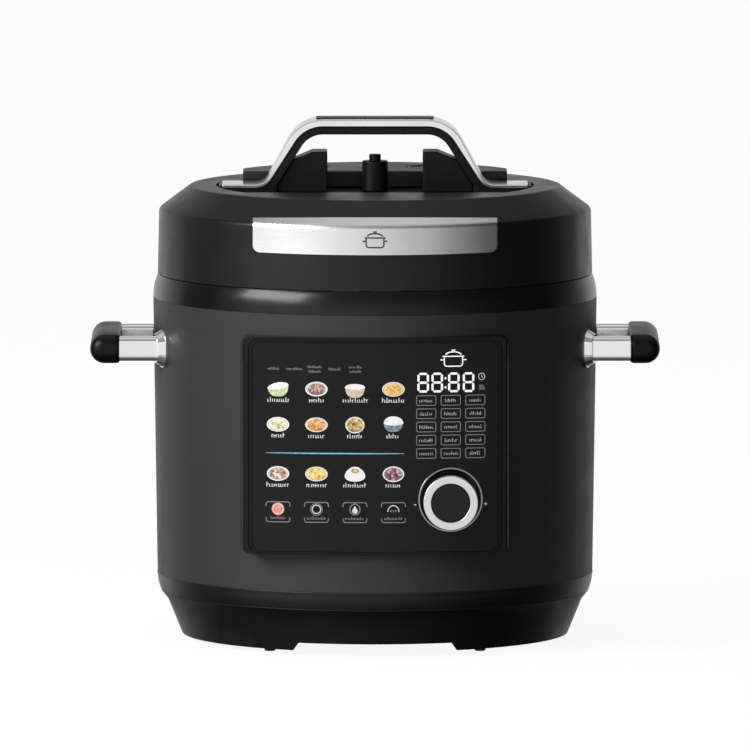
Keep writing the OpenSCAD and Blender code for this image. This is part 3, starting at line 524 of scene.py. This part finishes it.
def stroke(mesh, place, path, width, lift=INK, closed=False):
    """A closed thin bar along a path. width is a length, or a function of the share of the path passed."""
    path = [Vector(p) for p in dense(path, closed)]
    count = len(path)
    rings = []
    for i, point in enumerate(path):
        ways = []
        if closed or i > 0:
            ways.append((point - path[i - 1]).normalized())
        if closed or i < count - 1:
            ways.append((path[(i + 1) % count] - point).normalized())
        way = sum(ways, Vector((0, 0))).normalized()
        wide = width(i / (count - 1)) if callable(width) else width
        mitre = max(0.5, way.dot(ways[-1]))
        side = Vector((-way.y, way.x)) * wide / 2 / mitre
        near, far = point + side, point - side
        rings.append([mesh.verts.new(place(*p, d)) for p, d in (
            (near, lift), (far, lift), (far, SUNK), (near, SUNK))])
    for i in range(count if closed else count - 1):
        a, b = rings[i], rings[(i + 1) % count]
        for k in range(4):
            mesh.faces.new((a[k], a[(k + 1) % 4], b[(k + 1) % 4], b[k]))
    if not closed:
        mesh.faces.new(rings[0])
        mesh.faces.new(reversed(rings[-1]))


def patch(mesh, place, outline, lift=INK):
    """A closed thin plate with a star-shaped outline."""
    count = len(outline)
    centre = [sum(p[k] for p in outline) / count for k in (0, 1)]
    front, back = ([mesh.verts.new(place(x, z, d)) for x, z in outline] for d in (lift, SUNK))
    heads = [mesh.verts.new(place(*centre, d)) for d in (lift, SUNK)]
    for i in range(count):
        k = (i + 1) % count
        mesh.faces.new((heads[0], front[i], front[k]))
        mesh.faces.new((heads[1], back[k], back[i]))
        mesh.faces.new((front[i], back[i], back[k], front[k]))


def piece_from(mesh, name, body, material):
    """Turns a bmesh into a piece that rides on a body."""
    bmesh.ops.recalc_face_normals(mesh, faces=mesh.faces)
    data = bpy.data.meshes.new(name)
    mesh.to_mesh(data)
    mesh.free()
    data.materials.append(material)
    piece = bpy.data.objects.new(name, data)
    bpy.context.scene.collection.objects.link(piece)
    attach(piece, body)
    return piece


# ------------------------------------------------------------------ side grips

# Length of a grip's domed end, and the edge radius of its inner side
GRIP_END = 7 * MM
GRIP_INNER_EDGE = 2.2 * MM
# How much of the dome's pull the inner side takes, compared with the outer side
GRIP_INNER_SHARE = 0.3
# How far the outer side is from a full half round
GRIP_FLAT = 0.1 * MM
DOME_STEPS = 10


def grip_ring(inner, outer, cz, half, pull):
    """Outline of a grip's section, pulled in by pull: nearly flat towards the body, round on the outside."""
    inner, outer, half = inner + GRIP_INNER_SHARE * pull, outer - pull, half - pull
    r_out, r_in = half - GRIP_FLAT, min(GRIP_INNER_EDGE, 0.8 * half)
    far, near = outer - r_out, inner + r_in
    corners = ((far, half - r_out, r_out, 0, 10), (near, half - r_in, r_in, 90, 5),
               (near, r_in - half, r_in, 180, 5), (far, r_out - half, r_out, 270, 10))
    return [p for x, dz, r, start, count in corners
            for p in arc(x, cz + dz, r, r, start, start + 90, count)]


def make_grip(node, side, material):
    """A moulded side grip with domed ends, in the place of the CAD grip."""
    low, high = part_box(node)
    inner, outer = sorted((abs(low.x), abs(high.x)))
    cz, half, end = (low.z + high.z) / 2, (high.z - low.z) / 2, (high.y - low.y) / 2
    turns = [math.radians(90 * i / DOME_STEPS) for i in range(DOME_STEPS + 1)]
    dome = [(end - GRIP_END + GRIP_END * math.sin(t), GRIP_END * (1 - math.cos(t))) for t in turns]
    stations = [(-y, pull) for y, pull in reversed(dome)] + dome
    mesh = bmesh.new()
    rings = [[mesh.verts.new((side * x, y, z)) for x, z in grip_ring(inner, outer, cz, half, pull)]
             for y, pull in stations]
    count = len(rings[0])
    for a, b in zip(rings, rings[1:]):
        for k in range(count):
            mesh.faces.new((a[k], a[(k + 1) % count], b[(k + 1) % count], b[k]))
    mesh.faces.new(rings[0])
    mesh.faces.new(rings[-1])
    for face in mesh.faces:
        face.smooth = True
    piece = piece_from(mesh, node.replace("handle", "moulded"), "cooker", material)
    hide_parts(node)


# ------------------------------------------------------------------ springs


def make_spring(node, name, body, material):
    """A smooth-shaded copy of a CAD spring that rides on a body, in the place of the CAD spring."""
    piece = bpy.data.objects.new(name, NODES[node].data.copy())
    piece.data.materials.clear()
    piece.data.materials.append(material)
    piece.data.shade_smooth()
    bpy.context.scene.collection.objects.link(piece)
    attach(piece, body)
    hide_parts(node)
    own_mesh(piece)


# ------------------------------------------------------------------ the panel's printing

# The colours that each ink is mottled between
INK_COLORS = {
    "white": [(0.86, 0.87, 0.88), (0.93, 0.93, 0.93)],
    "pale": [(0.56, 0.57, 0.58), (0.66, 0.66, 0.67)],
    "silver": [(0.36, 0.365, 0.37), (0.44, 0.44, 0.445)],
    "grey": [(0.21, 0.215, 0.22), (0.27, 0.27, 0.275)],
    "china": [(0.78, 0.76, 0.74), (0.9, 0.89, 0.87)],
    "cream": [(0.76, 0.66, 0.46), (0.88, 0.8, 0.62)],
    "leaf": [(0.42, 0.5, 0.2), (0.66, 0.72, 0.42)],
    "beige": [(0.55, 0.42, 0.32), (0.72, 0.6, 0.48)],
    "slate": [(0.1, 0.13, 0.16), (0.3, 0.35, 0.4)],
    "rice": [(0.7, 0.74, 0.78), (0.95, 0.95, 0.96)],
    "meat": [(0.12, 0.05, 0.04), (0.32, 0.17, 0.14), (0.55, 0.36, 0.32)],
    "soup": [(0.72, 0.38, 0.06), (0.82, 0.55, 0.16), (0.86, 0.7, 0.34)],
    "stew": [(0.42, 0.1, 0.02), (0.7, 0.27, 0.06), (0.82, 0.5, 0.22)],
    "greens": [(0.14, 0.2, 0.05), (0.3, 0.4, 0.1), (0.62, 0.68, 0.36)],
    "broth": [(0.16, 0.07, 0.02), (0.42, 0.2, 0.1), (0.66, 0.46, 0.2)],
    "fish": [(0.2, 0.1, 0.05), (0.52, 0.3, 0.18), (0.78, 0.62, 0.46)],
    "noodles": [(0.52, 0.3, 0.03), (0.76, 0.55, 0.1), (0.84, 0.74, 0.36)],
    "beans": [(0.12, 0.03, 0.06), (0.28, 0.09, 0.16), (0.5, 0.28, 0.36)],
    "crust": [(0.3, 0.14, 0.05), (0.6, 0.4, 0.2)],
    "coral": [(0.62, 0.1, 0.09), (0.8, 0.3, 0.26)],
    "blue": [(0.12, 0.38, 0.55), (0.24, 0.48, 0.58)],
    # halo is painted glow: the blue line's light spilling over the glass, drawn as faint blue ink
    "halo": [(0.008, 0.03, 0.055), (0.01, 0.04, 0.075)],
}
# How strongly the inks glow, where that isn't PLAIN_GLOW
GLOW = {"white": 0.5, "pale": 0.35, "silver": 0.25, "blue": 0.75, "grey": 0.2}
PLAIN_GLOW = 0.3

# Middles of the panel's left columns, rows of dishes and function buttons, and the labels' drop
FIRST_COLUMN = -59.5 * MM
COLUMN_PITCH = 23.6 * MM
ROWS = (167 * MM, 145 * MM, 114.7 * MM)
LABEL_DROP = 6.7 * MM
FUNCTION_ROW = 92.9 * MM

# The open mesh of each ink, filled until its piece is made
inks = {}


def ink(name):
    """The mesh that marks of one ink go into."""
    if name not in inks:
        inks[name] = bmesh.new()
    return inks[name]


def block(mesh, place, x0, z0, x1, z1):
    patch(mesh, place, [(x0, z0), (x1, z0), (x1, z1), (x0, z1)])


def greeked(name, place, cx, cz, width, height, rng):
    """A word of plain thin bars of uneven height, some tied at a corner, which stands for a label."""
    x = cx - width / 2
    low = cz - height / 2
    thin = height * 0.17
    while x < cx + width / 2 - thin:
        tall = height * rng.choice((0.62, 0.62, 0.68, 1.0))
        block(ink(name), place, x, low, x + thin, low + tall)
        tie = low + rng.choice((0.0, 0.3, 0.5)) * height
        reach = x + height * rng.choice((0.3, 0.42))
        if rng.random() < 0.7:
            block(ink(name), place, x + thin, tie, reach, tie + thin)
        x += height * rng.uniform(0.42, 0.56)


def crumbs(name, cx, cz, rx, rz, size, count, rng, first_lift):
    """Small bits scattered over a dish, each on its own level."""
    for i in range(count):
        turn, far = rng.uniform(0, math.tau), math.sqrt(rng.uniform(0, 1)) * 0.82
        x, z = cx + rx * far * math.cos(turn), cz + rz * far * math.sin(turn)
        long = size * rng.uniform(0.6, 1.2)
        outline = ellipse(0, 0, long, long * rng.uniform(0.45, 0.8), 10)
        lean = rng.uniform(0, math.pi)
        c, s = math.cos(lean), math.sin(lean)
        turned = [(x + px * c - pz * s, z + px * s + pz * c) for px, pz in outline]
        patch(ink(name), on_glass, turned, first_lift + i * 0.004 * MM)


def dish(cx, cz, rim, food, bits, rng, rx=6.9 * MM, rz=4.5 * MM, share=0.78):
    """A plate or bowl seen from above."""
    patch(ink(rim), on_glass, ellipse(cx, cz, rx, rz))
    stroke(ink("grey"), on_glass, ellipse(cx, cz, rx * 0.87, rz * 0.83), 0.22 * MM, INK + 0.5 * LAYER, True)
    patch(ink(food), on_glass, ellipse(cx, cz - 0.1 * MM, rx * share, rz * share), INK + LAYER)
    for i, name in enumerate(bits):
        crumbs(name, cx, cz, rx * share, rz * share, 0.95 * MM, 9, rng, INK + (2 + i) * LAYER)


def bowl(cx, cz, side, fill, rng, width=13.2 * MM, depth=5.4 * MM, mound=0.0, lean=0.0):
    """A bowl seen from the side, with its filling showing over the rim."""
    half = width / 2
    wall = [(cx + half, cz + 1.2 * MM + lean), (cx - half, cz + 1.2 * MM - lean)]
    wall += arc(cx - half * 0.18, cz + 0.6 * MM, half * 0.76, depth, 185, 262, 7)
    wall += arc(cx + half * 0.18, cz + 0.6 * MM, half * 0.76, depth, 278, 355, 7)
    patch(ink(side), on_glass, wall)
    top = arc(cx, cz + 1.2 * MM, half * 0.98, 2.1 * MM + mound, 0, 180, 14)
    top += arc(cx, cz + 1.2 * MM, half * 0.98, 1.5 * MM, 180, 360, 14)[1:-1]
    top = [(x, z + lean * (x - cx) / half) for x, z in top]
    patch(ink(fill), on_glass, top, INK + LAYER)
    crumbs("china", cx, cz + 1.5 * MM, half * 0.7, 1.1 * MM + mound / 2, 0.8 * MM, 7, rng, INK + 2 * LAYER)


def bun(cx, cz, rng):
    """A white steamed bun with a browned top."""
    belt, half = cz - 1.4 * MM, 6.3 * MM
    body = arc(cx, belt, half, 3.2 * MM, 180, 360, 14)
    body += arc(cx, belt, half, 5.6 * MM, 0, 60, 5)
    body += arc(cx, cz + 3.2 * MM, 3.1 * MM, 1.4 * MM, 10, 170, 8)
    body += arc(cx, belt, half, 5.6 * MM, 120, 175, 5)
    patch(ink("china"), on_glass, body)
    patch(ink("crust"), on_glass, ellipse(cx, cz + 2.1 * MM, 2.5 * MM, 1.4 * MM, 18), INK + LAYER)
    crumbs("cream", cx, cz + 2 * MM, 2.2 * MM, 1.1 * MM, 0.6 * MM, 5, rng, INK + 2 * LAYER)


def food_icons(rng):
    """Three rows of four dishes, each over its label."""
    def at(column, row):
        return FIRST_COLUMN + COLUMN_PITCH * column, ROWS[row]
    bowl(*at(0, 0), "leaf", "rice", rng, mound=0.5 * MM, lean=1.1 * MM)
    dish(*at(1, 0), "china", "meat", ("beige", "meat"), rng)
    bowl(*at(2, 0), "beige", "china", rng, width=12.6 * MM, depth=5.8 * MM)
    dish(*at(3, 0), "cream", "soup", ("soup", "stew"), rng)
    dish(*at(0, 1), "china", "cream", ("greens", "leaf"), rng)
    dish(*at(1, 1), "cream", "stew", ("soup", "broth"), rng)
    dish(*at(2, 1), "cream", "broth", ("greens", "noodles"), rng, 5.9 * MM, 5.1 * MM, 0.8)
    bowl(*at(3, 1), "slate", "rice", rng, width=12.2 * MM, depth=4.8 * MM, mound=2.1 * MM)
    dish(*at(0, 2), "china", "fish", ("china", "broth"), rng)
    dish(*at(1, 2), "cream", "noodles", ("cream", "soup"), rng)
    bun(*at(2, 2), rng)
    dish(*at(3, 2), "china", "beans", ("beans", "beige"), rng, 6.6 * MM, 4.8 * MM, 0.83)
    widths = ((13, 9, 15, 14), (8, 10, 9.5, 8.5), (14.2, 12.4, 14.4, 9.6))
    for row in range(3):
        for column in range(4):
            x, z = at(column, row)
            greeked("pale", on_glass, x, z - LABEL_DROP, widths[row][column] * MM, 2.9 * MM, rng)


def heading_labels(rng):
    """The small words along the panel's top, of one or two lines."""
    for i, (width, lines) in enumerate(((7.6, 1), (10, 1), (8.6, 2), (7.8, 1), (8, 2))):
        x = (-62 + 12.5 * i) * MM
        for k in range(lines):
            z = (179.4 + (1.35 if lines == 2 else 0) - 2.7 * k) * MM
            greeked("grey", on_glass, x, z, (width - k) * MM, 1.7 * MM, rng)


def glowing_line():
    """The blue line between the dishes, thin at its ends, over a faint halo of painted glow."""
    left, right, z = FIRST_COLUMN - 7.3 * MM, 18.0 * MM, 127.4 * MM

    def taper(share):
        return MM * (0.15 + 0.4 * math.sin(math.pi * share) ** 0.5)
    stroke(ink("blue"), on_glass, [(left, z), (right, z)], taper, INK + LAYER)
    # The halo is painted glow around the blue line, three times as wide as the line
    stroke(ink("halo"), on_glass, [(left, z), (right, z)], lambda share: 3 * taper(share), 0.4 * INK)


def function_frame(x):
    """A bracket over and under a function button."""
    half_w, low, high = 7.3 * MM, 84.9 * MM, 97.2 * MM
    reach, r = 2.8 * MM, 1.5 * MM
    for edge, way in ((high, 1), (low, -1)):
        corner, foot = edge - way * r, edge - way * reach
        middle = 180 - way * 90
        left = arc(x - half_w + r, corner, r, r, 180, middle, 5)
        right = arc(x + half_w - r, corner, r, r, middle, 2 * middle - 180, 5)
        path = [(x - half_w, foot)] + left + right + [(x + half_w, foot)]
        stroke(ink("grey"), on_glass, path, 0.5 * MM)


# Each function button's sign is drawn at (x, z) with the random numbers of rng, which only one needs


def stop_sign(x, z, rng):
    patch(ink("coral"), on_glass, ellipse(x, z, 3.9 * MM, 3.9 * MM))
    stroke(ink("china"), on_glass, ellipse(x, z, 3.1 * MM, 3.1 * MM), 0.3 * MM, INK + LAYER, True)
    crumbs("beige", x, z, 2.4 * MM, 2.4 * MM, 0.7 * MM, 7, rng, INK + LAYER)


def double_ring(x, z, rng):
    stroke(ink("pale"), on_glass, ellipse(x, z, 2.6 * MM, 2.6 * MM), 0.6 * MM, INK, True)
    stroke(ink("grey"), on_glass, ellipse(x, z, 3.6 * MM, 3.6 * MM), 0.45 * MM, INK, True)


def drop_sign(x, z, rng):
    stroke(ink("grey"), on_glass, ellipse(x, z, 3.1 * MM, 3.3 * MM), 0.6 * MM, INK, True)
    drop = [(x, z + 2.2 * MM)] + arc(x, z - 0.9 * MM, 1.7 * MM, 1.7 * MM, 150, 390, 14)
    patch(ink("pale"), on_glass, drop)
    stroke(ink("grey"), on_glass, [(x, z + 3.6 * MM), (x, z + 4.5 * MM)], 0.9 * MM)


def arch_sign(x, z, rng):
    stroke(ink("pale"), on_glass, arc(x, z - 1.4 * MM, 3.4 * MM, 3.9 * MM, 0, 180, 16), 0.6 * MM)
    for dx in (-1.5, 0.0, 1.5):
        patch(ink("grey"), on_glass, ellipse(x + dx * MM, z - 0.9 * MM, 0.4 * MM, 0.75 * MM, 10))


def function_buttons(rng):
    """The bottom row of four framed signs, each over its label."""
    signs = ((stop_sign, 9), (double_ring, 11.4), (drop_sign, 12.2), (arch_sign, 11.2))
    for i, (sign, width) in enumerate(signs):
        x = FIRST_COLUMN + COLUMN_PITCH * i
        function_frame(x)
        greeked("grey", on_glass, x, 87.5 * MM, width * MM, 1.9 * MM, rng)
        sign(x, FUNCTION_ROW, rng)


# Place and size of the display's four digits, and the width and end gap of their bars
DIGIT_LOW, DIGIT_HIGH = 164.9 * MM, 177.1 * MM
DIGIT_LEFTS = (26.0 * MM, 34.6 * MM, 44.8 * MM, 53.8 * MM)
DIGIT_WIDTH = 7.1 * MM
BAR, BAR_GAP = 1.35 * MM, 0.3 * MM


def bar_shape(x0, z0, x1, z1):
    """A display bar with pointed ends between two points, upright or level."""
    a, b = Vector((x0, z0)), Vector((x1, z1))
    way = (b - a).normalized()
    side = Vector((-way.y, way.x)) * BAR / 2
    tip = way * BAR / 2
    a, b = a + way * BAR_GAP, b - way * BAR_GAP
    return [tuple(p) for p in (a, a + tip - side, b - tip - side, b, b - tip + side, a + tip + side)]


def display():
    """Four digits of seven bars with a colon, a small clock and three short lines."""
    middle = (DIGIT_LOW + DIGIT_HIGH) / 2
    low, high = DIGIT_LOW + BAR / 2, DIGIT_HIGH - BAR / 2
    for left in DIGIT_LEFTS:
        x0, x1 = left + BAR / 2, left + DIGIT_WIDTH - BAR / 2
        bars = [(x0, z, x1, z) for z in (low, middle, high)]
        bars += [(x, z, x, z + middle - low) for x in (x0, x1) for z in (low, middle)]
        for bar in bars:
            patch(ink("white"), on_glass, bar_shape(*bar))
    for z in (middle - 3 * MM, middle + 2.6 * MM):
        patch(ink("white"), on_glass, ellipse(43.2 * MM, z, 0.65 * MM, 0.75 * MM, 12))
    x, z = 65.4 * MM, 174.4 * MM
    hands = [(x, z + 1.1 * MM), (x, z - 0.1 * MM), (x + 0.8 * MM, z - 0.6 * MM)]
    stroke(ink("pale"), on_glass, ellipse(x, z, 1.9 * MM, 2.0 * MM, 24), 0.4 * MM, INK, True)
    stroke(ink("pale"), on_glass, hands, 0.35 * MM)
    for dz in (1.1, 0.0, -1.1):
        z = (167.8 + dz) * MM
        stroke(ink("grey"), on_glass, [(x - 1.7 * MM, z), (x + (1.7 - 0.5 * dz) * MM, z)], 0.5 * MM)


def preset_buttons(rng):
    """Five rows of three framed labels under the display."""
    for row in range(5):
        for column in range(3):
            x, z = (31.4 + 15.05 * column) * MM, (160.0 - 8.15 * row) * MM
            frame_line = round_rect(x, z, 11.8 * MM, 6.0 * MM, 0.9 * MM)
            stroke(ink("grey"), on_glass, frame_line, 0.42 * MM, INK, True)
            greeked("silver", on_glass, x, z, rng.uniform(6.4, 8.8) * MM, 2.2 * MM, rng)


def pot_glyph(name, place, cx, cz, size, line):
    """A plain pictogram of a pot with its lid, drawn to a width of about one and scaled by size."""
    def at(path):
        return [(cx + x * size, cz + z * size) for x, z in path]
    left, right = arc(-0.24, -0.2, 0.1, 0.1, 180, 270, 4), arc(0.24, -0.2, 0.1, 0.1, 270, 360, 4)
    body = [(-0.34, 0.04)] + left + right + [(0.34, 0.04)]
    stroke(ink(name), place, at(body), line)
    stroke(ink(name), place, at([(-0.4, 0.07), (0.4, 0.07)]), line)
    stroke(ink(name), place, at(arc(0, 0.1, 0.3, 0.14, 12, 168, 10)), line)
    stroke(ink(name), place, at([(-0.07, 0.3), (0.07, 0.3)]), line)
    for side in (-1, 1):
        stroke(ink(name), place, at([(0.37 * side, -0.06), (0.48 * side, -0.06)]), line)


def dial_signs():
    """The minus left of the dial and the plus right of it."""
    x, z, arm = 24.6 * MM, 95.8 * MM, 1.0 * MM
    stroke(ink("pale"), on_glass, [(x - 0.7 * arm, z), (x + 0.7 * arm, z)], 0.5 * MM)
    x = 67.9 * MM
    stroke(ink("pale"), on_glass, [(x - arm, z), (x + arm, z)], 0.45 * MM)
    stroke(ink("pale"), on_glass, [(x, z - arm), (x, z + arm)], 0.45 * MM, INK + LAYER)


def make_panel_printing():
    """All that is printed on the panel glass, as one piece for each ink."""
    rng = random.Random(7)
    food_icons(rng)
    heading_labels(rng)
    glowing_line()
    function_buttons(rng)
    display()
    preset_buttons(rng)
    pot_glyph("white", on_glass, 48.1 * MM, 185.9 * MM, 16.5 * MM, 0.7 * MM)
    dial_signs()
    for name in sorted(inks):
        material = printed("ink_" + name, INK_COLORS[name], GLOW.get(name, PLAIN_GLOW))
        piece_from(inks[name], "panel_print_" + name, "cooker", material)
    inks.clear()


def make_plate_mark():
    """The pictogram etched on the lid's steel plate."""
    pot_glyph("mark", on_front_plate, 0, 258.65 * MM, 16 * MM, 0.9 * MM)
    etch = surface("etched_mark", (0.03, 0.03, 0.032), 0.5, grain=2500, bump=0.1, wear=0.1)
    piece_from(inks.pop("mark"), "front_plate_mark", "lid", etch)


def make_level_marks():
    """Level lines on the pot's inner wall, long every half and short between."""
    for i in range(9):
        z = (105 + 11 * i) * MM
        width = (26 if i % 2 == 0 else 14) * MM
        stroke(ink("level"), on_pot_wall, [(-width / 2, z), (width / 2, z)], 0.9 * MM, 0.25 * MM)
    stroke(ink("level"), on_pot_wall, [(-13 * MM, 205 * MM), (13 * MM, 205 * MM)], 1.6 * MM, 0.25 * MM)
    ink_material = surface("level_ink", (0.5, 0.5, 0.5), 0.45, grain=2000, bump=0.1, wear=0.2)
    piece_from(inks.pop("level"), "pot_level_marks", "pot", ink_material)


make_camera()
make_studio()
make_key()
make_floor()
materials = make_materials()
finish_nodes(materials)
make_grip("left_handle_grip", -1, materials["grip_plastic"])
make_grip("right_handle_grip", 1, materials["grip_plastic"])
make_spring("release_spring", "release_coil", "lid", materials["steel"])
make_spring("sensor_spring", "sensor_coil", "cooker", materials["steel"])
make_panel_printing()
make_plate_mark()
make_level_marks()
